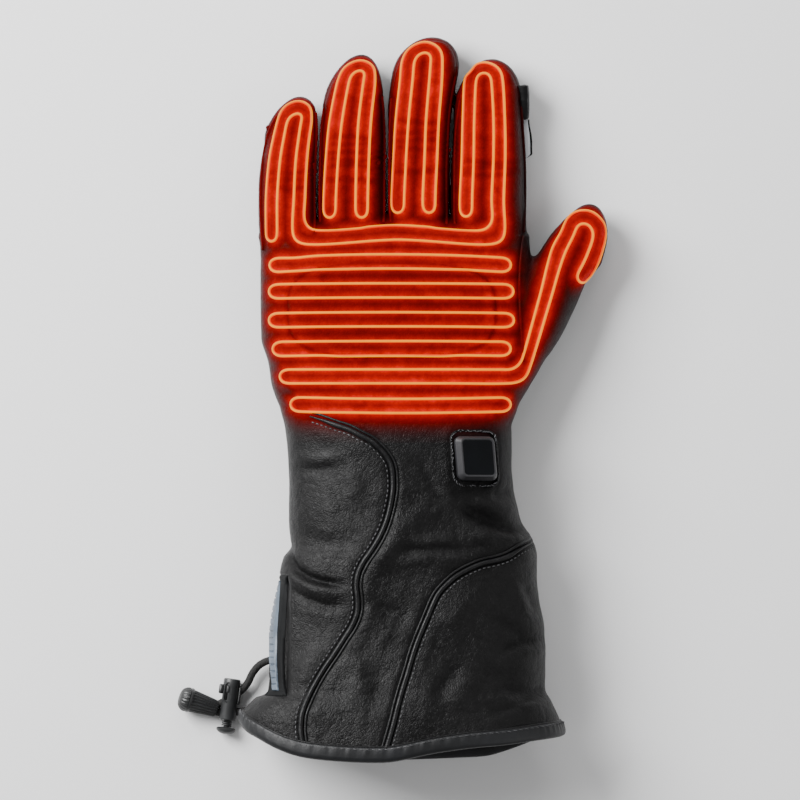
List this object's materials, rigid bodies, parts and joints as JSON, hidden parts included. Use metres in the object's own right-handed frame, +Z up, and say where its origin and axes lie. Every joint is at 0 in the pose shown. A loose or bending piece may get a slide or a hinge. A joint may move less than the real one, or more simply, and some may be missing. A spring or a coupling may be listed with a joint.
{
  "type": "heated glove",
  "caption": "Left-hand leather gauntlet glove lying palm down, with glowing heating wires on its back, a control button at the wrist and a flared cuff with a drawcord.",
  "frame": {"origin": "on the surface under the middle of the glove's bounding box, without its drawcord", "axes": "+X towards the thumb, +Y towards the fingertips, +Z up from the palm to the back of the hand"},
  "size_m": [0.1967, 0.3332, 0.0652],
  "materials": {
    "leather": "satin grained leather",
    "cuff_leather": "satin grained leather, a little greyer",
    "piping": "folded leather piping",
    "binding": "matte woven binding",
    "heating_wire": "glowing amber wire",
    "bezel": "matte with a stitched edge",
    "button_rubber": "matte rubber",
    "button_face": "smooth dark blue-black",
    "label_rubber": "matte grey-blue rubber",
    "wiper_rubber": "satin black rubber",
    "wiper_blade": "pale grey satin rubber",
    "lock_plastic": "satin black plastic",
    "cord_end_rubber": "ribbed black rubber",
    "cord": "braided black cord"
  },
  "bodies": {
    "glove": {"hand_back": "leather", "hand_palm": "leather", "finger_little": "leather", "finger_ring": "leather", "finger_middle": "leather", "finger_index": "leather", "thumb": "leather", "knuckle_panel": "leather", "cuff_panel_little_side": "cuff_leather", "cuff_panel_thumb_side": "cuff_leather", "piping_little_side": "piping", "piping_thumb_side": "piping", "hem_binding": "binding", "side_label": "label_rubber", "visor_wiper_holder": "wiper_rubber", "visor_wiper_blade": "wiper_blade", "heating_wire_little_and_index": "heating_wire", "heating_wire_ring": "heating_wire", "heating_wire_middle": "heating_wire", "heating_wire_thumb": "heating_wire", "heating_wire_row_1": "heating_wire", "heating_wire_row_2": "heating_wire", "heating_wire_row_3": "heating_wire", "heating_wire_row_4": "heating_wire", "heating_wire_row_5": "heating_wire", "control_bezel": "bezel", "cord_lock_barrel": "lock_plastic", "cord_end": "cord_end_rubber", "drawcord_upper": "cord", "drawcord_lower": "cord"},
    "button": {"control_button": "button_rubber", "control_button_face": "button_face"},
    "lock_plunger": {"cord_lock_plunger": "lock_plastic"}
  },
  "joints": [
    {"name": "control_button_press", "type": "slide", "parent": "glove", "child": "button", "axis": [-0.2686, -0.0494, -0.962], "range_m": [0, 0.0008], "stiffness_N_per_m": 1500},
    {"name": "cord_lock_press", "type": "slide", "parent": "glove", "child": "lock_plunger", "axis": [0.1305, 0.9914, 0], "range_m": [0, 0.003], "stiffness_N_per_m": 1500}
  ]
}
